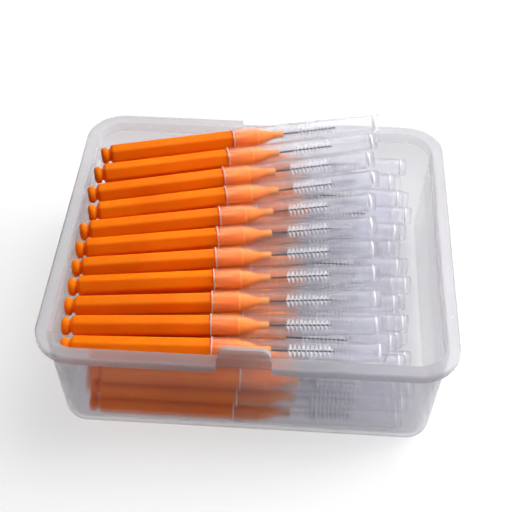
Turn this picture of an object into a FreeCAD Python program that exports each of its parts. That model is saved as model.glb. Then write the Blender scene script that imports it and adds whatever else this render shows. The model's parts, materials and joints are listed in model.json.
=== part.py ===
import FreeCAD, Part
import math
import os

import Sketcher
from FreeCAD import Placement, Rotation, Vector

# Driving sizes in millimetres and degrees. Every brush lies along +X with its cap to the right,
# and the origin is the middle of the underside of the box.
sizes = {
    # handle
    "knob_dia": 4.3,
    "knob_length": 1.8,
    "knob_round": 0.7,
    "neck_dia": 3.1,
    "neck_length": 0.9,
    "grip_flats": 4.7,
    "grip_length": 32.1,
    "grip_bevel": 0.8,
    "collar_length": 6.6,
    "collar_step": 0.25,
    "cone_length": 5.0,
    "nozzle_dia": 1.9,
    "nozzle_length": 2.2,
    # wire and bristles
    "wire_dia": 0.5,
    "wire_reach": 14.7,
    "wire_root": 8.0,
    "wire_play": 0.01,
    "sleeve_wall": 0.08,
    "bristle_start": 4.0,
    "bristle_length": 10.4,
    "bristle_dia": 2.9,
    "bristle_tip_dia": 2.3,
    "tuft_dia": 0.18,
    "tuft_pitch": 1.0,
    # cap
    "cap_length": 40.5,
    "cap_mouth_dia": 5.85,
    "cap_end_dia": 4.6,
    "cap_wall": 0.42,
    "cap_end_wall": 1.4,
    "cap_end_round": 0.7,
    "cap_fit": 0.06,
    "cap_seat": 0.05,
    # packing of the brushes
    "lane_gap": 0.6,
    "fan_gap": 0.48,
    "stack_gap": 0.3,
    "wall_gap": 0.15,
    "floor_gap": 0.05,
    "fan_angle": 15.0,
    "front_angle": 2.5,
    "fan_slack": 2.4,
    "rim_gap": 0.6,
    "end_room": 9.9,
    # box
    "box_wall": 1.1,
    "box_floor": 1.2,
    "box_draft": 4.0,
    "box_corner": 5.5,
    "box_foot_round": 3.6,
    "headroom": 4.55,
    "rim_overhang": 2.2,
    "rim_height": 2.3,
    "rim_round": 0.6,
    "rim_break": 12.4,
    "rim_break_bevel": 0.9,
    "tab_width": 11.8,
    "tab_rise": 3.4,
    "tab_round": 2.2,
}

topCount = 11
layerCount = 3
laneCount = 12
heapCount = 5
tuftsPerTurn = 6
gripSides = 6

# How far each brush of the top layer has slid along its slack, back to front.
topShiftShares = (1.0, 0.6, 0.3, 0.69, 0.14, 0.05, 0.02, 0.0, 0.0, 0.08, 0.36)
# How far each of them is turned from the front angle towards the fan angle.
topTurnShares = (1.0, 1.0, 1.0, 0.952, 0.816, 0.68, 0.544, 0.408, 0.272, 0.136, 0.0)
# How far each of them is raised by the heap, in shares of the rise that clears the rim at the back.
topRiseShares = (1.0, 0.9, 0.8, 0.7, 0.6, 0.5, 0.4, 0.3, 0.2, 0.1, 0.0)
# How far each handle of the top layer is rolled, in shares of one facet.
topRollShares = (0.42, 0.55, 0.48, 0.5, 0.58, 0.46, 0.52, 0.56, 0.44, 0.5, 0.53)
# The loose layers below step along their slack by these shares, per lane and per layer.
laneStepShare = 0.618
layerStepShare = 0.17
frontLaneShare = 0.45

doc = FreeCAD.newDocument("BrushBox")
sheet = doc.addObject("Spreadsheet::Sheet", "sizes")
for row, (alias, size) in enumerate(sizes.items(), start=1):
    sheet.set(f"A{row}", alias)
    sheet.set(f"B{row}", str(size))
    sheet.setAlias(f"B{row}", alias)
doc.recompute()


def mm(expression):
    value = sheet.evalExpression(expression)
    return float(getattr(value, "Value", value))


# Places along a brush, from the back of its knob.
neckAt = "sizes.knob_length"
gripAt = "(sizes.knob_length + sizes.neck_length)"
mouthAt = "(sizes.knob_length + sizes.neck_length + sizes.grip_length)"
collarEnd = f"({mouthAt} + sizes.collar_length)"
coneEnd = f"({collarEnd} + sizes.cone_length)"
nozzleEnd = f"({coneEnd} + sizes.nozzle_length)"
brushLength = f"({mouthAt} + sizes.cap_seat + sizes.cap_length)"

# Radii. The collar follows the taper of the bore that slides over it.
gripCorner = f"(sizes.grip_flats / 2 / cos({180 / gripSides} deg))"
boreMouth = "(sizes.cap_mouth_dia / 2 - sizes.cap_wall)"
capTaper = "((sizes.cap_mouth_dia - sizes.cap_end_dia) / 2 / sizes.cap_length)"
boreEnd = f"({boreMouth} - {capTaper} * (sizes.cap_length - sizes.cap_end_wall))"
collarRoot = f"({boreMouth} - sizes.cap_fit)"
collarTip = f"({collarRoot} - {capTaper} * sizes.collar_length)"

# The tub grows from what it holds: twelve lanes wide, one brush and some room long.
lanePitch = "(sizes.cap_mouth_dia + sizes.lane_gap)"
layerRise = "(sizes.cap_mouth_dia + sizes.stack_gap)"
baseLength = f"({brushLength} + sizes.end_room + 2 * sizes.box_wall)"
laneSpan = f"({laneCount - 1} * {lanePitch} + sizes.cap_mouth_dia)"
baseDepth = f"({laneSpan} + 2 * sizes.wall_gap + 2 * sizes.box_wall)"
firstAxis = "(sizes.box_floor + sizes.floor_gap + sizes.cap_mouth_dia / 2)"
topAxis = f"({firstAxis} + {layerCount} * {layerRise})"
boxHeight = f"({topAxis} + sizes.cap_mouth_dia / 2 + sizes.headroom)"
fanRise = f"({boxHeight} + sizes.rim_gap + sizes.cap_end_dia / 2 - {topAxis})"
flare = f"({boxHeight} * tan(sizes.box_draft * 1 deg))"
topLength = f"({baseLength} + 2 * {flare})"
topDepth = f"({baseDepth} + 2 * {flare})"
topCorner = f"(sizes.box_corner + {flare})"
overrun = "(sizes.rim_overhang)"


def originPlane(body, role):
    return next(feature for feature in body.Origin.OriginFeatures if feature.Role == role)


def newSketch(body, name, role, lift=None):
    sketch = body.newObject("Sketcher::SketchObject", name)
    sketch.AttachmentSupport = [(originPlane(body, role), "")]
    sketch.MapMode = "FlatFace"
    if lift:
        sketch.setExpression("AttachmentOffset.Base.z", lift)
    return sketch


def pin(sketch, geometry, corner, x, y):
    # Ties one corner of an outline to the sheet.
    for kind, axis, expression in (("DistanceX", -2, x), ("DistanceY", -1, y)):
        value = mm(expression)
        if value == 0:
            sketch.addConstraint(Sketcher.Constraint("PointOnObject", geometry, corner, axis))
            continue
        index = sketch.addConstraint(Sketcher.Constraint(kind, -1, 1, geometry, corner, value))
        sketch.setExpression(f"Constraints[{index}]", expression)


def drawOutline(sketch, points):
    first = sketch.GeometryCount
    count = len(points)
    corners = [Vector(mm(x), mm(y), 0) for x, y in points]
    for index in range(count):
        sketch.addGeometry(Part.LineSegment(corners[index], corners[(index + 1) % count]), False)
    for index in range(count):
        follower = first + (index + 1) % count
        sketch.addConstraint(Sketcher.Constraint("Coincident", first + index, 2, follower, 1))
    for index, (x, y) in enumerate(points):
        pin(sketch, first + index, 1, x, y)


def drawRoundedRectangle(sketch, length, depth, corner):
    # Four sides and four corner arcs about the origin, each arc centre tied to the sheet.
    first = sketch.GeometryCount
    halfX, halfY, radius = mm(length) / 2, mm(depth) / 2, mm(corner)
    quarter = math.pi / 2
    for index, (signX, signY) in enumerate(((1, 1), (-1, 1), (-1, -1), (1, -1))):
        centre = Vector(signX * (halfX - radius), signY * (halfY - radius), 0)
        circle = Part.Circle(centre, Vector(0, 0, 1), radius)
        sketch.addGeometry(Part.ArcOfCircle(circle, index * quarter, (index + 1) * quarter), False)
    for index in range(4):
        start = sketch.getPoint(first + index, 2)
        end = sketch.getPoint(first + (index + 1) % 4, 1)
        sketch.addGeometry(Part.LineSegment(start, end), False)
    for index, (signX, signY) in enumerate(((1, 1), (-1, 1), (-1, -1), (1, -1))):
        arc, side, nextArc = first + index, first + 4 + index, first + (index + 1) % 4
        sketch.addConstraint(Sketcher.Constraint("Tangent", arc, 2, side, 1))
        sketch.addConstraint(Sketcher.Constraint("Tangent", side, 2, nextArc, 1))
        pin(sketch, arc, 3, f"{signX} * ({length} / 2 - {corner})", f"{signY} * ({depth} / 2 - {corner})")
    radiusIndex = sketch.addConstraint(Sketcher.Constraint("Radius", first, radius))
    sketch.setExpression(f"Constraints[{radiusIndex}]", corner)


def revolve(body, name, sketch):
    turned = body.newObject("PartDesign::Revolution", name)
    turned.Profile = sketch
    turned.ReferenceAxis = (sketch, ["H_Axis"])
    turned.Angle = 360
    return turned


def roundEdges(body, name, base, radius, wanted):
    doc.recompute()
    names = [f"Edge{index}" for index, edge in enumerate(base.Shape.Edges, start=1) if wanted(edge)]
    fillet = body.newObject("PartDesign::Fillet", name)
    fillet.Base = (base, names)
    fillet.setExpression("Radius", radius)
    return fillet


def makeHandle():
    # One moulding: knob, neck, bevelled six-sided grip, collar, cone and nozzle.
    body = doc.addObject("PartDesign::Body", "HandleMaster")
    profile = newSketch(body, "HandleProfile", "XZ_Plane")
    bevelRadius = f"({gripCorner} - sizes.grip_bevel)"
    drawOutline(profile, (
        ("0", "0"),
        ("0", "sizes.knob_dia / 2 - sizes.knob_round"),
        ("sizes.knob_round", "sizes.knob_dia / 2"),
        (f"{neckAt} - sizes.knob_round / 2", "sizes.knob_dia / 2"),
        (neckAt, "sizes.neck_dia / 2"),
        (gripAt, "sizes.neck_dia / 2"),
        (gripAt, bevelRadius),
        (f"{gripAt} + sizes.grip_bevel", gripCorner),
        (mouthAt, gripCorner),
        (mouthAt, collarRoot),
        (collarEnd, collarTip),
        (collarEnd, f"{collarTip} - sizes.collar_step"),
        (coneEnd, "sizes.nozzle_dia / 2"),
        (nozzleEnd, "sizes.nozzle_dia / 2"),
        (nozzleEnd, "0"),
    ))
    turned = revolve(body, "HandleTurned", profile)
    doc.recompute()
    rodVolume = turned.Shape.Volume

    facets = newSketch(body, "GripFacets", "YZ_Plane", gripAt)
    ring = facets.addGeometry(Part.Circle(Vector(), Vector(0, 0, 1), 2 * mm(gripCorner)), False)
    facets.addConstraint(Sketcher.Constraint("Coincident", ring, 3, -1, 1))
    ringIndex = facets.addConstraint(Sketcher.Constraint("Radius", ring, 2 * mm(gripCorner)))
    facets.setExpression(f"Constraints[{ringIndex}]", f"2 * {gripCorner}")
    turn = 360 / gripSides
    drawOutline(facets, tuple(
        (f"{gripCorner} * cos({index * turn} deg)", f"{gripCorner} * sin({index * turn} deg)")
        for index in range(gripSides)
    ))
    pocket = body.newObject("PartDesign::Pocket", "GripCut")
    pocket.Profile = facets
    pocket.setExpression("Length", "sizes.grip_length")
    pocket.Reversed = True
    doc.recompute()
    if pocket.Shape.Volume >= rodVolume:
        raise RuntimeError("the grip has no facets")
    return body


def makeCap():
    # Tapered tube with a thick closed end, open at the mouth.
    body = doc.addObject("PartDesign::Body", "CapMaster")
    profile = newSketch(body, "CapProfile", "XZ_Plane")
    mouth = f"({mouthAt} + sizes.cap_seat)"
    boreBottom = f"({brushLength} - sizes.cap_end_wall)"
    drawOutline(profile, (
        (mouth, boreMouth),
        (mouth, "sizes.cap_mouth_dia / 2"),
        (f"{brushLength} - sizes.cap_end_round", f"sizes.cap_end_dia / 2 + {capTaper} * sizes.cap_end_round"),
        (brushLength, "sizes.cap_end_dia / 2 - sizes.cap_end_round"),
        (brushLength, "0"),
        (boreBottom, "0"),
        (boreBottom, boreEnd),
    ))
    revolve(body, "CapTurned", profile)
    return body


def makeWire():
    wire = doc.addObject("Part::Cylinder", "WireMaster")
    wire.setExpression("Radius", "sizes.wire_dia / 2")
    wire.setExpression("Height", "sizes.wire_root + sizes.wire_reach")
    wire.Placement = Placement(Vector(), Rotation(Vector(0, 1, 0), 90))
    wire.setExpression("Placement.Base.x", f"{nozzleEnd} - sizes.wire_root")
    return wire


def makeSocketedHandle(handle, wire):
    # The stem is moulded in, so the handle is hollow where the stem sits.
    socketed = doc.addObject("Part::Cut", "HandleSocketed")
    socketed.Base = handle
    socketed.Tool = wire
    return socketed


def makeBristles():
    # A thin sleeve on the stem carries tufts that climb around it as a screw does.
    start = mm(f"{nozzleEnd} + sizes.bristle_start")
    length = mm("sizes.bristle_length")
    inner = mm("sizes.wire_dia / 2 + sizes.wire_play")
    outer = inner + mm("sizes.sleeve_wall")
    along = Vector(1, 0, 0)
    base = Vector(start, 0, 0)
    sleeve = Part.makeCylinder(outer, length, base, along).cut(Part.makeCylinder(inner, length, base, along))
    tuftRadius = mm("sizes.tuft_dia / 2")
    travel = length - 2 * tuftRadius
    count = int(travel / mm("sizes.tuft_pitch") * tuftsPerTurn)
    rootRadius, tipRadius = mm("sizes.bristle_dia / 2"), mm("sizes.bristle_tip_dia / 2")
    foot = (inner + outer) / 2
    tufts = []
    for index in range(count):
        share = index / (count - 1)
        turn = Rotation(along, 360 * index / tuftsPerTurn)
        outward = turn.multVec(Vector(0, 0, 1))
        reach = rootRadius + (tipRadius - rootRadius) * share - foot
        at = Vector(start + tuftRadius + travel * share, 0, 0) + outward * foot
        tufts.append(Part.makeCylinder(tuftRadius, reach, at, outward))
    bristles = doc.addObject("Part::Feature", "BristlesMaster")
    bristles.Shape = sleeve.multiFuse(tufts)
    return bristles


def makeBox():
    # Drafted tub with a broken rim, rounded foot and an upright latch tab.
    body = doc.addObject("PartDesign::Body", "box")
    foot = newSketch(body, "FootOutline", "XY_Plane")
    drawRoundedRectangle(foot, baseLength, baseDepth, "sizes.box_corner")
    tub = body.newObject("PartDesign::Pad", "Tub")
    tub.Profile = foot
    tub.setExpression("Length", boxHeight)
    tub.setExpression("TaperAngle", "sizes.box_draft")
    low = mm("sizes.box_floor") / 2
    roundEdges(body, "FootRound", tub, "sizes.box_foot_round", lambda edge: edge.BoundBox.ZMax < low)

    rimUnder = f"({boxHeight} - sizes.rim_height)"
    rim = newSketch(body, "RimOutline", "XY_Plane", rimUnder)
    drawRoundedRectangle(
        rim,
        f"({topLength} + 2 * sizes.rim_overhang)",
        f"({topDepth} + 2 * sizes.rim_overhang)",
        f"({topCorner} + sizes.rim_overhang)",
    )
    band = body.newObject("PartDesign::Pad", "RimBand")
    band.Profile = rim
    band.setExpression("Length", "sizes.rim_height")
    outside = mm(f"{topDepth} / 2 + sizes.rim_overhang / 2")
    outsideX = mm(f"{topLength} / 2 + sizes.rim_overhang / 2")
    cornerReach = mm(f"{topLength} / 2 - {topCorner}")

    def onRimEdge(edge):
        middle = edge.valueAt((edge.FirstParameter + edge.LastParameter) / 2)
        flat = edge.BoundBox.ZLength < low
        high = middle.z > mm(rimUnder) - low
        corner = abs(middle.x) > cornerReach and edge.Curve.TypeId == "Part::GeomCircle"
        wide = corner and edge.Curve.Radius > mm(f"{topCorner} + sizes.rim_overhang / 2")
        return flat and high and (abs(middle.x) > outsideX or abs(middle.y) > outside or wide)

    rounded = roundEdges(body, "RimRound", band, "sizes.rim_round", onRimEdge)
    doc.recompute()

    last = rounded
    for side, name in ((1, "FrontBreak"), (-1, "BackBreak")):
        opening = newSketch(body, f"{name}Outline", "XZ_Plane", f"{side} * {topDepth} / 2")
        half = "sizes.rim_break / 2"
        drawOutline(opening, (
            (f"-1 * {half}", f"{boxHeight} + {overrun}"),
            (f"-1 * {half}", f"{rimUnder} + sizes.rim_break_bevel"),
            (f"-1 * ({half} + sizes.rim_break_bevel)", rimUnder),
            (f"{half} + sizes.rim_break_bevel", rimUnder),
            (half, f"{rimUnder} + sizes.rim_break_bevel"),
            (half, f"{boxHeight} + {overrun}"),
        ))
        notch = body.newObject("PartDesign::Pocket", name)
        notch.Profile = opening
        notch.setExpression("Length", f"sizes.rim_overhang + {overrun}")
        notch.Reversed = side == 1
        doc.recompute()
        if notch.Shape.Volume >= last.Shape.Volume:
            raise RuntimeError("the rim is not broken")
        last = notch

    mouth = newSketch(body, "CavityOutline", "XY_Plane", boxHeight)
    wallTwice = "2 * sizes.box_wall"
    drawRoundedRectangle(
        mouth, f"({topLength} - {wallTwice})", f"({topDepth} - {wallTwice})", f"({topCorner} - sizes.box_wall)"
    )
    cavity = body.newObject("PartDesign::Pocket", "Cavity")
    cavity.Profile = mouth
    cavity.setExpression("Length", f"{boxHeight} - sizes.box_floor")
    cavity.setExpression("TaperAngle", "-1 * sizes.box_draft")
    doc.recompute()
    if cavity.Shape.Volume >= last.Shape.Volume:
        raise RuntimeError("the tub is not hollow")
    floor = mm("sizes.box_floor")
    innerX = mm(f"{baseLength} / 2")
    roundEdges(
        body, "InnerRound", cavity, "sizes.box_foot_round - sizes.box_wall",
        lambda edge: abs(edge.BoundBox.ZMax - floor) < low and edge.BoundBox.ZLength < low
        and edge.BoundBox.XMax < innerX,
    )
    doc.recompute()

    tab = newSketch(body, "TabOutline", "XZ_Plane", f"{topDepth} / 2 - sizes.box_wall")
    drawOutline(tab, (
        ("-1 * sizes.tab_width / 2", f"{boxHeight} - sizes.rim_height"),
        ("sizes.tab_width / 2", f"{boxHeight} - sizes.rim_height"),
        ("sizes.tab_width / 2", f"{boxHeight} + sizes.tab_rise"),
        ("-1 * sizes.tab_width / 2", f"{boxHeight} + sizes.tab_rise"),
    ))
    tongue = body.newObject("PartDesign::Pad", "LatchTab")
    tongue.Profile = tab
    tongue.setExpression("Length", "sizes.box_wall")
    rise = mm(boxHeight)
    roundEdges(
        body, "TabRound", tongue, "sizes.tab_round",
        lambda edge: edge.BoundBox.ZMin > rise + low and edge.BoundBox.XLength < low
        and edge.BoundBox.ZLength < low,
    )
    return body


def copyOf(master, placement):
    shape = master.Shape.copy()
    shape.Placement = placement.multiply(shape.Placement)
    return shape


def addPiece(label, shapes, placement):
    # One named piece, or several like it, in a frame of its own.
    piece = doc.addObject("Part::Feature", label)
    piece.Shape = shapes[0] if len(shapes) == 1 else Part.makeCompound(shapes)
    piece.Placement = placement.multiply(piece.Placement)
    return piece


def fanPlacement(index):
    # The top layer slopes up to the back, where the last cap ends over the rim.
    turn = f"(sizes.fan_angle - sizes.front_angle) * {topTurnShares[index]}"
    angle = math.radians(mm(f"sizes.front_angle + {turn}"))
    height = mm(f"{topAxis} + {topRiseShares[index]} * {fanRise}")
    backReach = mm(f"{topDepth} / 2 + sizes.rim_overhang - sizes.cap_end_dia / 2")
    mouthBack = backReach - mm("sizes.cap_length + sizes.fan_slack") * math.sin(math.radians(mm("sizes.fan_angle")))
    mouthY = mouthBack - index * mm("sizes.cap_mouth_dia + sizes.fan_gap")
    slid = topShiftShares[index] * mm("sizes.fan_slack")
    draftRoom = height * math.tan(math.radians(mm("sizes.box_draft")))
    knobTurn = mm("sizes.knob_dia / 2") * math.sin(angle)
    leftWall = mm(f"{baseLength} / 2 - sizes.box_wall - sizes.wall_gap") + draftRoom - knobTurn
    knobX = -leftWall + slid * math.cos(angle)
    knobY = mouthY + (slid - mm(mouthAt)) * math.sin(angle)
    at = Vector(knobX, knobY, height)
    return Placement(at, Rotation(Vector(0, 0, 1), math.degrees(angle)))


def lanePlacement(layer, lane, rise=0):
    share = (frontLaneShare + lane * laneStepShare + layer * layerStepShare) % 1
    slack = mm("sizes.end_room - 2 * (sizes.box_foot_round - sizes.box_wall)")
    knobX = -mm(brushLength) / 2 + slack * (share - 1 / 2)
    laneY = mm(lanePitch) * (lane - (laneCount - 1) / 2)
    return Placement(Vector(knobX, laneY, rise), Rotation())


def rolled(share):
    return Placement(Vector(), Rotation(Vector(1, 0, 0), 360 / gripSides * share))


handle, cap, wire = makeHandle(), makeCap(), makeWire()
bristles = makeBristles()
box = makeBox()
socketed = makeSocketedHandle(handle, wire)
doc.recompute()

masters = {"handle": socketed, "wire": wire, "bristles": bristles, "cap": cap}
pieces = [box]
for index in range(topCount):
    frame = fanPlacement(index)
    for kind, master in masters.items():
        roll = rolled(topRollShares[index]) if kind == "handle" else Placement()
        pieces.append(addPiece(f"{kind}_{index + 1:02d}", [copyOf(master, roll)], frame))
    print("brush", index + 1, "knob", tuple(round(value, 3) for value in frame.Base),
          "angle", round(math.degrees(frame.Rotation.Angle), 3))
for layer in range(layerCount):
    frame = Placement(Vector(0, 0, mm(f"{firstAxis} + {layer} * {layerRise}")), Rotation())
    places = [lanePlacement(layer, lane) for lane in range(laneCount)]
    if layer == layerCount - 1:
        heaped = range(laneCount - heapCount, laneCount)
        places += [lanePlacement(layerCount, lane, mm(layerRise)) for lane in heaped]
    for kind, master in masters.items():
        shapes = []
        for index, place in enumerate(places):
            share = (index * laneStepShare + layer * layerStepShare) % 1
            roll = rolled(share) if kind == "handle" else Placement()
            shapes.append(copyOf(master, place.multiply(roll)))
        pieces.append(addPiece(f"{kind}_layer_{layer + 1}", shapes, frame))
doc.recompute()

for item in doc.Objects:
    if "Invalid" in item.State or "Error" in item.State:
        raise RuntimeError(f"{item.Label} failed to build")
for piece in pieces:
    if piece.Shape.isNull() or not piece.Shape.isValid():
        raise RuntimeError(f"{piece.Label} has no valid shape")

os.makedirs("parts", exist_ok=True)
for piece in pieces:
    piece.Shape.exportStep(f"parts/{piece.Label}.step")
print("box", [round(value, 2) for value in (box.Shape.BoundBox.XLength, box.Shape.BoundBox.YLength,
                                            box.Shape.BoundBox.ZLength)])
print("pieces", len(pieces), "solids", sum(len(piece.Shape.Solids) for piece in pieces))
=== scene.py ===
import json
import math
import random

import bmesh
import bpy
from mathutils import Matrix, Vector


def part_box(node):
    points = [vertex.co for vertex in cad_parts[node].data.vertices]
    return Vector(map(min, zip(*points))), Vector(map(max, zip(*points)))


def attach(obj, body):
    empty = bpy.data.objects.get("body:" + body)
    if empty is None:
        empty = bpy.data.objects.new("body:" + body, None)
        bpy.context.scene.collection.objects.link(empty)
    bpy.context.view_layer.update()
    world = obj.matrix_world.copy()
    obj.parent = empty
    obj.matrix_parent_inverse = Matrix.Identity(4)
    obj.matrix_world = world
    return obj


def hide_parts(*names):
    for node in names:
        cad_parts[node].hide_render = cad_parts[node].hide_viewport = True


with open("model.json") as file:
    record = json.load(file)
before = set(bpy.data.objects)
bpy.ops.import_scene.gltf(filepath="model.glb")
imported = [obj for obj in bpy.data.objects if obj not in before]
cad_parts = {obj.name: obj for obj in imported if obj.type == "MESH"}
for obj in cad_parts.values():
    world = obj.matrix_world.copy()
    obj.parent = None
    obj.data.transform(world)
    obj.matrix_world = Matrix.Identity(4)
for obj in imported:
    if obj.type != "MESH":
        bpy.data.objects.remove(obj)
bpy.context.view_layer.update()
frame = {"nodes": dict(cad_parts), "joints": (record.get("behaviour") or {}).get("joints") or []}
mm = 0.001
fullTurn = 2 * math.pi
topCount = 11
layerCount = 3

# Shared sizes of one brush, in millimetres from the back of its knob
brush = {
    "mouth": 34.8,  # where the cap begins
    "collarEnd": 41.4,
    "coneEnd": 46.4,
    "nozzleEnd": 48.6,
    "wireRoot": 8.0,
    "wireReach": 14.7,
}
brush["wireMiddle"] = brush["nozzleEnd"] + (brush["wireReach"] - brush["wireRoot"]) / 2


# Materials
noiseDetail = 4.0
patchStops = (0.3, 0.7)
plainLook = {  # what a finish has where it says nothing else
    "ior": 1.46,
    "sheen": 0.5,
    "clear": 0.0,
    "metal": 0.0,
    "milky": 0.0,
    "milkyReach": (0.001, 0.001, 0.001),
    "milkyScale": 1.0,
    "solid": 1.0,  # below 1, some light goes straight through
    "gloss": 0.0,
    "glossRoughness": 0.2,
}


def newMaterial(name):
    material = bpy.data.materials.new(name)
    material.use_nodes = True
    nodes = material.node_tree.nodes
    return material, nodes, material.node_tree.links, nodes["Principled BSDF"]


def seenRays(nodes, links):
    lightPath = nodes.new("ShaderNodeLightPath")
    seen = lightPath.outputs["Is Camera Ray"]
    for ray in ("Is Glossy Ray", "Is Transmission Ray"):
        either = nodes.new("ShaderNodeMath")
        either.operation = "MAXIMUM"
        links.new(seen, either.inputs[0])
        links.new(lightPath.outputs[ray], either.inputs[1])
        seen = either.outputs[0]
    return seen


def addNoise(nodes, links, scale):
    place = nodes.new("ShaderNodeTexCoord")
    noise = nodes.new("ShaderNodeTexNoise")
    noise.inputs["Scale"].default_value = scale
    noise.inputs["Detail"].default_value = noiseDetail
    links.new(place.outputs["Object"], noise.inputs["Vector"])
    return noise.outputs["Fac"]


def varyColour(nodes, links, shader, fac, dark, light):
    ramp = nodes.new("ShaderNodeValToRGB")
    for stop, position, colour in zip(ramp.color_ramp.elements, patchStops, (dark, light)):
        stop.position = position
        stop.color = (*colour, 1.0)
    links.new(fac, ramp.inputs["Fac"])
    links.new(ramp.outputs["Color"], shader.inputs["Base Color"])


def varyRoughness(nodes, links, shader, fac, low, high):
    spread = nodes.new("ShaderNodeMapRange")
    spread.inputs["To Min"].default_value = low
    spread.inputs["To Max"].default_value = high
    links.new(fac, spread.inputs["Value"])
    links.new(spread.outputs["Result"], shader.inputs["Roughness"])


def addBump(nodes, links, shader, fac, strength, depth):
    bump = nodes.new("ShaderNodeBump")
    bump.inputs["Strength"].default_value = strength
    bump.inputs["Distance"].default_value = depth
    links.new(fac, bump.inputs["Height"])
    links.new(bump.outputs["Normal"], shader.inputs["Normal"])


def makeFinish(name, ownLook):
    look = {**plainLook, **ownLook}
    material, nodes, links, shader = newMaterial(name)
    broad = addNoise(nodes, links, look["patchScale"])
    fine = addNoise(nodes, links, look["grainScale"])
    varyColour(nodes, links, shader, broad, look["dark"], look["light"])
    varyRoughness(nodes, links, shader, fine, *look["roughness"])
    addBump(nodes, links, shader, fine, look["bump"], look["bumpDepth"])
    shader.inputs["IOR"].default_value = look["ior"]
    shader.inputs["Specular IOR Level"].default_value = look["sheen"]
    shader.inputs["Transmission Weight"].default_value = look["clear"]
    shader.inputs["Metallic"].default_value = look["metal"]
    shader.inputs["Subsurface Weight"].default_value = look["milky"]
    shader.inputs["Subsurface Radius"].default_value = look["milkyReach"]
    shader.inputs["Subsurface Scale"].default_value = look["milkyScale"]
    shader.inputs["Alpha"].default_value = look["solid"]
    shader.inputs["Coat Weight"].default_value = look["gloss"]
    shader.inputs["Coat Roughness"].default_value = look["glossRoughness"]
    return material


handleLook = {
    "patchScale": 90.0,
    "grainScale": 900.0,
    "dark": (0.80, 0.165, 0.001),
    "light": (0.90, 0.205, 0.002),
    "roughness": (0.40, 0.52),
    "bump": 0.12,
    "bumpDepth": 0.00005,
    "sheen": 0.08,
    "milky": 0.6,
    "milkyReach": (0.006, 0.0006, 0.0001),  # red light travels furthest
}
nozzleLook = {
    "patchScale": 200.0,
    "grainScale": 1200.0,
    "dark": (0.62, 0.20, 0.035),
    "light": (0.72, 0.26, 0.05),
    "roughness": (0.36, 0.5),
    "bump": 0.1,
    "bumpDepth": 0.00004,
    "sheen": 0.2,
}
coneLook = {
    "patchScale": 150.0,
    "grainScale": 1000.0,
    "dark": (0.80, 0.17, 0.004),
    "light": (0.88, 0.22, 0.008),
    "roughness": (0.38, 0.5),
    "bump": 0.1,
    "bumpDepth": 0.00004,
    "sheen": 0.2,
}
wireLook = {
    "patchScale": 400.0,
    "grainScale": 2500.0,
    "dark": (0.02, 0.02, 0.022),
    "light": (0.09, 0.09, 0.10),
    "roughness": (0.28, 0.42),
    "bump": 0.15,
    "bumpDepth": 0.00002,
    "metal": 1.0,
}
bristleLook = {
    "patchScale": 500.0,
    "grainScale": 3000.0,
    "dark": (0.93, 0.93, 0.96),
    "light": (0.99, 0.99, 1.0),
    "roughness": (0.25, 0.4),
    "bump": 0.05,
    "bumpDepth": 0.00001,
    "clear": 0.05,
}
capLook = {
    "patchScale": 60.0,
    "grainScale": 700.0,
    "dark": (0.925, 0.925, 0.97),
    "light": (0.965, 0.965, 1.0),
    "roughness": (0.04, 0.10),
    "bump": 0.03,
    "bumpDepth": 0.00004,
    "clear": 0.955,
    "ior": 1.19,
    "gloss": 0.22,
    "glossRoughness": 0.08,
    "solid": 0.5,
}
# whiter and less clear than the cap: a painted highlight at the cap's mouth, also used on the bore's closed
# end
highlightAndEndLook = {
    "patchScale": 200.0,
    "grainScale": 1500.0,
    "dark": (0.90, 0.88, 0.91),
    "light": (0.96, 0.94, 0.97),
    "roughness": (0.25, 0.35),
    "bump": 0.03,
    "bumpDepth": 0.00002,
    "clear": 0.35,
    "ior": 1.3,
}
boxLook = {
    "patchScale": 25.0,
    "grainScale": 1400.0,
    "dark": (0.57, 0.56, 0.59),
    "light": (0.65, 0.64, 0.67),
    "roughness": (0.20, 0.30),
    "bump": 0.06,
    "bumpDepth": 0.00006,
    "ior": 1.10,
    "gloss": 0.03,
    "glossRoughness": 0.15,
    "solid": 0.75,
    "milky": 1.0,
    "milkyReach": (0.003, 0.003, 0.003),
    "height": 0.0335,
    "clearByHeight": (  # less clear higher up: a painted haze of light from above on the upper wall, and least clear at the rim and the tab
        (0.0, 0.99), (0.35, 0.98), (0.60, 0.91), (0.80, 0.86), (0.83, 0.72), (0.90, 0.70), (0.93, 0.4)
    ),
}
handlePlastic = makeFinish("orange_moulding", handleLook)
nozzlePlastic = makeFinish("ochre_nozzle", nozzleLook)
wireSteel = makeFinish("twisted_steel", wireLook)
bristleNylon = makeFinish("white_nylon", bristleLook)
capPlastic = makeFinish("clear_cap", capLook)
highlightAndEndPlastic = makeFinish("cap_highlight_and_end", highlightAndEndLook)
conePlastic = makeFinish("light_cone", coneLook)
boxPlastic = makeFinish("frosted_tub", boxLook)


# Clearness falls with height: the haze on the upper wall is painted light from above
def clearByHeight(material, look):
    nodes, links = material.node_tree.nodes, material.node_tree.links
    place = nodes.new("ShaderNodeTexCoord")
    split = nodes.new("ShaderNodeSeparateXYZ")
    links.new(place.outputs["Object"], split.inputs["Vector"])
    share = nodes.new("ShaderNodeMath")
    share.operation = "DIVIDE"
    share.inputs[1].default_value = look["height"]
    links.new(split.outputs["Z"], share.inputs[0])
    ramp = nodes.new("ShaderNodeValToRGB")
    stops = ramp.color_ramp.elements
    while len(stops) < len(look["clearByHeight"]):
        stops.new(0.5)
    for stop, (position, level) in zip(stops, look["clearByHeight"]):
        stop.position = position
        stop.color = (level, level, level, 1.0)
    links.new(share.outputs[0], ramp.inputs["Fac"])
    links.new(ramp.outputs["Color"], nodes["Principled BSDF"].inputs["Transmission Weight"])


clearByHeight(boxPlastic, boxLook)
print("materials made")


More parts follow.
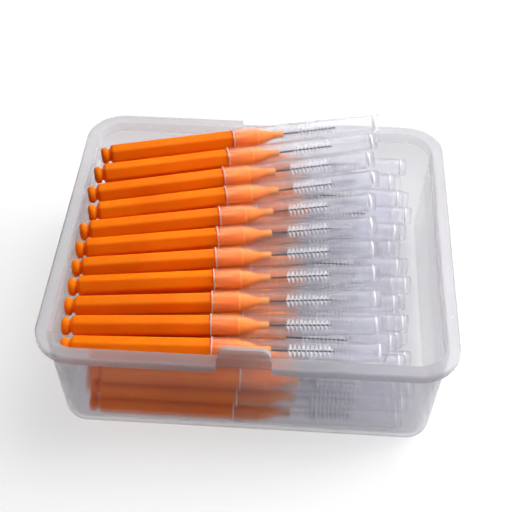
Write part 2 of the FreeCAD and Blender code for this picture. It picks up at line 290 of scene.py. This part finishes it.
# Where the brushes lie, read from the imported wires
def wireMiddles(node):
    lanes = []
    for vertex in frame["nodes"][node].data.vertices:
        for lane in lanes:
            if (lane[0].yz - vertex.co.yz).length < mm:
                lane.append(vertex.co.copy())
                break
        else:
            lanes.append([vertex.co.copy()])
    middles = []
    for lane in lanes:
        low = Vector(min(point[axis] for point in lane) for axis in range(3))
        high = Vector(max(point[axis] for point in lane) for axis in range(3))
        middles.append((low + high) / 2)
    return sorted(middles, key=lambda middle: (round(middle.z, 4), middle.y))  # low row first


def brushFrame(wireMiddle, along):
    yaw = math.atan2(along[1], along[0])
    turn = Matrix.Rotation(yaw, 4, "Z")
    back = Vector(wireMiddle) - turn @ Vector((brush["wireMiddle"] * mm, 0, 0))
    return Matrix.Translation(back) @ turn


def topFrame(number):
    joint = next(j for j in frame["joints"] if j["name"] == f"uncap_{number:02d}")
    low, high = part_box(f"wire_{number:02d}")
    return brushFrame((low + high) / 2, joint["axis"])


places = {f"_{number:02d}": [topFrame(number)] for number in range(1, topCount + 1)}
for layer in range(1, layerCount + 1):
    places[f"_layer_{layer}"] = [brushFrame(spot, (1, 0, 0)) for spot in wireMiddles(f"wire_layer_{layer}")]
print("brushes placed", sum(len(spots) for spots in places.values()))


# Building meshes
def loftRings(mesh, rings, paints):
    shape = bmesh.new()
    loops = [[shape.verts.new(point) for point in ring] for ring in rings]
    sides = len(rings[0])
    for index in range(len(loops) - 1):
        for side in range(sides):
            after = (side + 1) % sides
            face = shape.faces.new((
                loops[index][side], loops[index + 1][side], loops[index + 1][after], loops[index][after],
            ))
            face.smooth = True
            face.material_index = paints[index]
    shape.faces.new(loops[0])
    shape.faces.new(reversed(loops[-1]))
    bmesh.ops.recalc_face_normals(shape, faces=shape.faces)
    shape.to_mesh(mesh)
    shape.free()


def roundPoint(x, radius, angle):
    return Vector((x * mm, radius * mm * math.cos(angle), radius * mm * math.sin(angle)))


def roundRing(x, radius, sides):
    return [roundPoint(x, radius, fullTurn * side / sides) for side in range(sides)]


def stampPiece(kind, suffix, template, body, rolls=None):
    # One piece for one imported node, holding every copy in that node
    shape = bmesh.new()
    for index, place in enumerate(places[suffix]):
        copy = template.copy()
        roll = Matrix.Rotation(rolls[index], 4, "X") if rolls else Matrix.Identity(4)
        copy.transform(place @ roll)
        shape.from_mesh(copy)
        bpy.data.meshes.remove(copy)
    mesh = bpy.data.meshes.new(f"{kind}{suffix}_mesh")
    shape.to_mesh(mesh)
    shape.free()
    for material in template.materials:
        mesh.materials.append(material)
    piece = bpy.data.objects.new(f"{kind}{suffix}_look", mesh)
    bpy.context.scene.collection.objects.link(piece)
    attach(piece, body)
    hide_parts(f"{kind}{suffix}")


# Handles
handle = {
    "sides": 48,
    "knobDia": 4.3,
    "knobLength": 1.8,
    "domeDepth": 0.8,
    "domeFlat": 0.5,  # flat share of the knob's end
    "knobShoulder": ((0.4, 1.0), (0.15, 0.95)),  # before the neck, share of the knob
    "neckDia": 3.1,
    "neckLength": 0.65,
    "neckRunout": 0.1,  # where the neck widens into the grip
    "flats": 4.7,
    "facets": 6,
    "cornerEase": 34.0,  # higher is a sharper facet edge
    "cornerShare": 0.985,
    "gripStart": ((0.0, 0.74), (0.275, 0.9), (0.55, 0.985), (0.9, 1.0)),  # after the neck, share of grip
    "gripEnd": ((0.3, 1.0), (0.02, 0.97)),  # before the cap, share of grip
    "collarRoot": 4.89,
    "collarTip": 4.69,
    "collarEase": (0.12, 0.1),  # length and depth of its rounded end
    "collarLip": 0.25,
    "coneInset": 0.03,
    "coneBend": 1.15,  # higher stays full for longer
    "nozzleDia": 1.9,
    "nozzleEase": (0.15, 0.85),  # length and share of its rounded end
}


def gripRing(x, grow):
    facet = fullTurn / handle["facets"]
    points = []
    for side in range(handle["sides"]):
        angle = fullTurn * side / handle["sides"]
        off = angle % facet - facet / 2  # from the middle of the facet
        flat = handle["flats"] / 2 / math.cos(off)
        reach = handle["flats"] / 2 / math.cos(facet / 2) * handle["cornerShare"]
        ease = handle["cornerEase"]
        radius = (flat ** -ease + reach ** -ease) ** (-1 / ease) * grow
        points.append(roundPoint(x, radius, angle))
    return points


def makeHandle():
    sides = handle["sides"]
    gripPaint, conePaint, nozzlePaint = range(3)
    rings, paints = [], []

    def add(ring, paint=gripPaint):
        rings.append(ring)
        paints.append(paint)

    knob, neckAt = handle["knobDia"] / 2, handle["knobLength"]
    domeSteps = 6
    for step in range(domeSteps + 1):  # domed back of the knob
        lean = math.pi / 2 * step / domeSteps
        width = handle["domeFlat"] + (1 - handle["domeFlat"]) * math.sin(lean)
        add(roundRing(handle["domeDepth"] * (1 - math.cos(lean)), knob * width, sides))
    for before, share in handle["knobShoulder"]:
        add(roundRing(neckAt - before, knob * share, sides))
    gripAt = neckAt + handle["neckLength"]
    for x in (neckAt, gripAt - handle["neckRunout"]):
        add(roundRing(x, handle["neckDia"] / 2, sides))
    for after, share in handle["gripStart"]:
        add(gripRing(gripAt + after, share))
    for before, share in handle["gripEnd"]:
        add(gripRing(brush["mouth"] - before, share))
    collarTip, (tipEase, tipStep) = handle["collarTip"] / 2, handle["collarEase"]
    add(roundRing(brush["mouth"], handle["collarRoot"] / 2, sides))
    add(roundRing(brush["collarEnd"] - tipEase, collarTip, sides))
    add(roundRing(brush["collarEnd"], collarTip - tipStep, sides), conePaint)
    coneTop, coneFoot = collarTip - handle["collarLip"], handle["nozzleDia"] / 2
    coneLength = brush["coneEnd"] - brush["collarEnd"]
    coneSteps = 8
    for step in range(coneSteps + 1):  # full near the collar, slim at the nozzle
        share = step / coneSteps
        fall = 0.5 - 0.5 * math.cos(math.pi * share ** handle["coneBend"])
        x = brush["collarEnd"] + handle["coneInset"] + coneLength * share
        paint = nozzlePaint if step == coneSteps else conePaint
        add(roundRing(x, coneTop + (coneFoot - coneTop) * fall, sides), paint)
    easeLength, easeShare = handle["nozzleEase"]
    add(roundRing(brush["nozzleEnd"] - easeLength, coneFoot, sides), nozzlePaint)
    add(roundRing(brush["nozzleEnd"], coneFoot * easeShare, sides), nozzlePaint)
    mesh = bpy.data.meshes.new("handle_template")
    loftRings(mesh, rings, paints)
    for plastic in (handlePlastic, conePlastic, nozzlePlastic):
        mesh.materials.append(plastic)
    return mesh


# Caps
cap = {
    "sides": 56,
    "length": 40.5,
    "seat": 0.05,
    "mouthDia": 5.85,
    "endDia": 4.6,
    "wall": 0.42,
    "endWall": 1.4,
    "endRound": 0.7,
    "lip": 0.1,
    "edge": 0.32,  # whiter, less clear band at the mouth: a painted highlight of its edge catching light
    "poleDia": 0.1,
    "boreFloor": ((0.0, -0.4), (0.12, -0.1)),  # before the closed end, added to the radius
    "boreEase": (0.45, 0.02),  # where the floor meets the wall
    "boreRun": 0.8,
}


def makeCap():
    sides, length = cap["sides"], cap["length"]
    start = brush["mouth"] + cap["seat"]
    slope = (cap["mouthDia"] - cap["endDia"]) / 2 / length

    def outer(x):
        return cap["mouthDia"] / 2 - slope * x

    clearPaint, highlightAndEndPaint = range(2)
    rings, paints = [], []

    def add(x, radius, paint=clearPaint):
        rings.append(roundRing(start + x, radius, sides))
        paints.append(paint)

    bottom, boreEnd = length - cap["endWall"], outer(length) - cap["wall"]
    # the closed end of the bore in the whiter finish
    add(bottom, cap["poleDia"] / 2, highlightAndEndPaint)
    for before, wider in cap["boreFloor"]:
        add(bottom - before, boreEnd + wider, highlightAndEndPaint)
    easeLength, easeStep = cap["boreEase"]
    add(bottom - easeLength, boreEnd + easeStep)
    boreSteps = 6
    for step in range(boreSteps):
        x = (bottom - cap["boreRun"]) * (1 - step / boreSteps)
        add(x, outer(x) - cap["wall"])
    # the lip and the band after it in the whiter finish, a painted highlight of the mouth's edge catching
    # light
    add(cap["lip"], outer(0) - cap["wall"], highlightAndEndPaint)
    add(0, outer(0) - cap["wall"] + cap["lip"], highlightAndEndPaint)
    add(0, outer(0) - cap["lip"], highlightAndEndPaint)
    add(cap["lip"], outer(0), highlightAndEndPaint)
    add(cap["edge"], outer(cap["edge"]))
    for step in range(1, boreSteps + 1):
        x = (length - cap["endRound"]) * step / boreSteps
        add(x, outer(x))
    turnSteps = 4
    for step in range(1, turnSteps + 1):
        lean = math.pi / 2 * step / turnSteps
        x = length - cap["endRound"] * (1 - math.sin(lean))
        add(x, outer(length) - cap["endRound"] * (1 - math.cos(lean)))
    add(length, cap["poleDia"] / 2)
    mesh = bpy.data.meshes.new("cap_template")
    loftRings(mesh, rings, paints)
    for plastic in (capPlastic, highlightAndEndPlastic):
        mesh.materials.append(plastic)
    return mesh


# Wire stems
wire = {
    "strandDia": 0.27,
    "twistPitch": 2.0,
    "closeness": 0.92,  # under 1 the strands press together
    "sides": 6,
    "stepsPerTurn": 14,
    "tipTrim": 0.06,
}


def makeWire():
    shape = bmesh.new()
    start = brush["nozzleEnd"] - brush["wireRoot"]
    length = brush["wireRoot"] + brush["wireReach"] - wire["tipTrim"]
    steps = int(length / wire["twistPitch"] * wire["stepsPerTurn"])
    strand = wire["strandDia"] / 2
    for half in (0, math.pi):
        loops = []
        for step in range(steps + 1):
            x = start + length * step / steps
            lean = fullTurn * x / wire["twistPitch"] + half
            centre = roundPoint(x, strand * wire["closeness"], lean)
            ring = roundRing(0, strand, wire["sides"])
            loops.append([shape.verts.new(centre + point) for point in ring])
        for index in range(steps):
            for side in range(wire["sides"]):
                after = (side + 1) % wire["sides"]
                shape.faces.new((
                    loops[index][side], loops[index + 1][side], loops[index + 1][after], loops[index][after],
                )).smooth = True
        shape.faces.new(loops[0])
        shape.faces.new(reversed(loops[-1]))
    bmesh.ops.recalc_face_normals(shape, faces=shape.faces)
    mesh = bpy.data.meshes.new("wire_template")
    shape.to_mesh(mesh)
    shape.free()
    mesh.materials.append(wireSteel)
    return mesh


# Bristles
bristles = {
    "start": 4.0,  # from the nozzle
    "length": 10.4,
    "rootDia": 2.9,
    "tipDia": 2.3,
    "filamentDia": 0.11,
    "spacing": 0.075,
    "turnSpread": 0.16,
    "leanSpread": 0.06,
    "shortest": 0.94,
    "tipTaper": 0.8,
    "seed": 7,
}


def makeBristles():
    shape = bmesh.new()
    draw = random.Random(bristles["seed"])
    count = int(bristles["length"] / bristles["spacing"])
    thick = bristles["filamentDia"] / 2 * mm
    turnSpread, leanSpread = bristles["turnSpread"], bristles["leanSpread"]
    for index in range(count):
        share = (index + 0.5) / count
        x = brush["nozzleEnd"] + bristles["start"] + bristles["length"] * share
        reach = (bristles["rootDia"] + (bristles["tipDia"] - bristles["rootDia"]) * share) / 2
        for half in (0, math.pi):
            lean = fullTurn * x / wire["twistPitch"] + half + draw.uniform(-turnSpread, turnSpread)
            forward = draw.uniform(-leanSpread, leanSpread)
            outward = Vector((forward, math.cos(lean), math.sin(lean))).normalized()
            across = outward.cross(Vector((1, 0, 0))).normalized() * thick
            along = outward.cross(across).normalized() * thick
            foot = Vector((x * mm, 0, 0)) + outward * wire["strandDia"] / 2 * mm
            tip = Vector((x * mm, 0, 0)) + outward * reach * draw.uniform(bristles["shortest"], 1.0) * mm
            corners = (across, along, -across, -along)
            loops = [
                [shape.verts.new(at + corner * taper) for corner in corners]
                for at, taper in ((foot, 1.0), (tip, bristles["tipTaper"]))
            ]
            for side in range(len(corners)):
                after = (side + 1) % len(corners)
                shape.faces.new((loops[0][side], loops[1][side], loops[1][after], loops[0][after]))
            shape.faces.new(loops[0])
            shape.faces.new(reversed(loops[1]))
    bmesh.ops.recalc_face_normals(shape, faces=shape.faces)
    mesh = bpy.data.meshes.new("bristles_template")
    shape.to_mesh(mesh)
    shape.free()
    mesh.materials.append(bristleNylon)
    return mesh


# One set of pieces for every place
templates = {"handle": makeHandle(), "cap": makeCap(), "wire": makeWire(), "bristles": makeBristles()}
facetTurn = fullTurn / handle["facets"]
rollShares = {  # of one facet
    "top": (0.05, 0.92, 0.10, 0.95, 0.03, 0.90, 0.06, 0.74, 0.12, 0.97, 0.86),  # back to front
    "step": 0.618,
    "layer": 0.17,
}
for suffix, spots in places.items():
    isLayer = suffix.startswith("_layer")
    for kind, template in templates.items():
        body = "box" if isLayer else ("cap" if kind == "cap" else "brush") + suffix
        rolls = None
        if kind == "handle" and isLayer:
            layer = int(suffix[-1]) - 1
            shift = layer * rollShares["layer"]
            rolls = [facetTurn * ((index * rollShares["step"] + shift) % 1) for index in range(len(spots))]
        elif kind == "handle":
            rolls = [facetTurn * rollShares["top"][int(suffix[1:]) - 1]]
        stampPiece(kind, suffix, template, body, rolls)
for template in templates.values():
    bpy.data.meshes.remove(template)
print("brush pieces built")

# Tub
tubShade = {"mode": "FACE_AREA", "weight": 90}
tub = frame["nodes"]["box"]
tub.data.materials.clear()
tub.data.materials.append(boxPlastic)
for polygon in tub.data.polygons:
    polygon.use_smooth = True
evenShade = tub.modifiers.new("even_shade", "WEIGHTED_NORMAL")  # flat walls, round edges
evenShade.mode = tubShade["mode"]
evenShade.weight = tubShade["weight"]
print("tub dressed")

# Floor
floorLook = {
    "half": 1.2,
    "drop": 0.0001,
    "seen": (0.97, 0.97, 0.97),
    "bounce": (0.11, 0.11, 0.11),  # darker to the light it throws back
    "glow": 0.62,
    "fade": (0.12, 0.36),  # white from here outward
    "roughness": 0.9,
    "sheen": 0.0,
}
floorMesh = bpy.data.meshes.new("floor_mesh")
half, drop = floorLook["half"], floorLook["drop"]
floorCorners = [(-half, -half, -drop), (half, -half, -drop), (half, half, -drop), (-half, half, -drop)]
floorMesh.from_pydata(floorCorners, [], [(0, 1, 2, 3)])
floor = bpy.data.objects.new("floor", floorMesh)
bpy.context.scene.collection.objects.link(floor)
floorMaterial, floorNodes, floorLinks, floorShader = newMaterial("pale_floor")
floorShader.inputs["Roughness"].default_value = floorLook["roughness"]
floorShader.inputs["Specular IOR Level"].default_value = floorLook["sheen"]
seen = seenRays(floorNodes, floorLinks)
shade = floorNodes.new("ShaderNodeMix")
shade.data_type = "RGBA"
shade.inputs["A"].default_value = (*floorLook["bounce"], 1.0)
shade.inputs["B"].default_value = (*floorLook["seen"], 1.0)
floorLinks.new(seen, shade.inputs["Factor"])
floorLinks.new(shade.outputs["Result"], floorShader.inputs["Base Color"])
glow = floorNodes.new("ShaderNodeEmission")
glowShare = floorNodes.new("ShaderNodeMath")
glowShare.operation = "MULTIPLY"
floorPlace = floorNodes.new("ShaderNodeTexCoord")
fromBox = floorNodes.new("ShaderNodeVectorMath")
fromBox.operation = "LENGTH"
fade = floorNodes.new("ShaderNodeMapRange")
fade.inputs["From Min"].default_value, fade.inputs["From Max"].default_value = floorLook["fade"]
fade.inputs["To Min"].default_value = floorLook["glow"]
floorLinks.new(floorPlace.outputs["Object"], fromBox.inputs[0])
floorLinks.new(fromBox.outputs["Value"], fade.inputs["Value"])
floorLinks.new(fade.outputs["Result"], glowShare.inputs[1])
floorLinks.new(seen, glowShare.inputs[0])
blend = floorNodes.new("ShaderNodeMixShader")
floorLinks.new(glowShare.outputs[0], blend.inputs["Fac"])
floorLinks.new(floorShader.outputs["BSDF"], blend.inputs[1])
floorLinks.new(glow.outputs["Emission"], blend.inputs[2])
floorLinks.new(blend.outputs["Shader"], floorNodes["Material Output"].inputs["Surface"])
floorMesh.materials.append(floorMaterial)

# Light
lights = (
    {"name": "sky_panel", "at": (0.26, 0.22, 0.50), "size": 0.6, "power": 5.4, "aim": (0, 0, 0.02)},
    {"name": "side_window", "at": (0.55, 0.16, 0.22), "size": 0.4, "power": 2.6, "aim": (0.02, 0, 0.02)},
    {"name": "front_fill", "at": (-0.10, -0.60, 0.30), "size": 0.6, "power": 0.06, "aim": (0, 0, 0.02)},
)
for panel in lights:
    data = bpy.data.lights.new(panel["name"], "AREA")
    data.size = panel["size"]
    data.energy = panel["power"]
    lamp = bpy.data.objects.new(panel["name"], data)
    lamp.location = panel["at"]
    toward = Vector(panel["aim"]) - Vector(panel["at"])
    lamp.rotation_euler = toward.to_track_quat("-Z", "Y").to_euler()
    bpy.context.scene.collection.objects.link(lamp)
worldLook = {"colour": (1.0, 1.0, 1.0), "seen": 1.0, "bounce": 0.06}
world = bpy.data.worlds.new("studio")
bpy.context.scene.world = world
world.use_nodes = True
worldNodes, worldLinks = world.node_tree.nodes, world.node_tree.links
background = worldNodes["Background"]
background.inputs["Color"].default_value = (*worldLook["colour"], 1.0)
strength = worldNodes.new("ShaderNodeMapRange")
strength.inputs["To Min"].default_value = worldLook["bounce"]
strength.inputs["To Max"].default_value = worldLook["seen"]
worldLinks.new(seenRays(worldNodes, worldLinks), strength.inputs["Value"])
worldLinks.new(strength.outputs["Result"], background.inputs["Strength"])
print("floor and light set")

# Camera
view = {
    "azimuth": 3.543,
    "elevation": 45.781,
    "roll": 0.323,
    "target": (-0.00099, 0.00004, 0.015),
    "distance": 0.2745,
    "focalPixels": 1066.2,
    "imagePixels": 512.0,
    "principal": (251.8, 272.5),
    "sensor": 36.0,
    "nearest": 0.01,
    "bounces": 32,  # light crosses many clear walls
    "clearBounces": 48,
}
azimuth, elevation, roll = (math.radians(view[key]) for key in ("azimuth", "elevation", "roll"))
away = Vector((
    math.sin(azimuth) * math.cos(elevation), -math.cos(azimuth) * math.cos(elevation), math.sin(elevation),
))
across = Vector((math.cos(azimuth), math.sin(azimuth), 0))
upward = away.cross(across)
right = math.cos(roll) * across + math.sin(roll) * upward
above = -math.sin(roll) * across + math.cos(roll) * upward
cameraData = bpy.data.cameras.new("photo_view")
cameraData.sensor_width = view["sensor"]
cameraData.lens = view["focalPixels"] * view["sensor"] / view["imagePixels"]
cameraData.shift_x = (view["imagePixels"] / 2 - view["principal"][0]) / view["imagePixels"]
cameraData.shift_y = (view["principal"][1] - view["imagePixels"] / 2) / view["imagePixels"]
cameraData.clip_start = view["nearest"]
camera = bpy.data.objects.new("photo_view", cameraData)
facing = Matrix((right, above, away)).transposed().to_4x4()
camera.matrix_world = Matrix.Translation(Vector(view["target"]) + away * view["distance"]) @ facing
bpy.context.scene.collection.objects.link(camera)
bpy.context.scene.camera = camera
bpy.context.scene.view_settings.view_transform = "Standard"
cycles = bpy.context.scene.cycles
cycles.max_bounces = view["bounces"]
cycles.transmission_bounces = view["bounces"]
cycles.transparent_max_bounces = view["clearBounces"]
print("camera set")
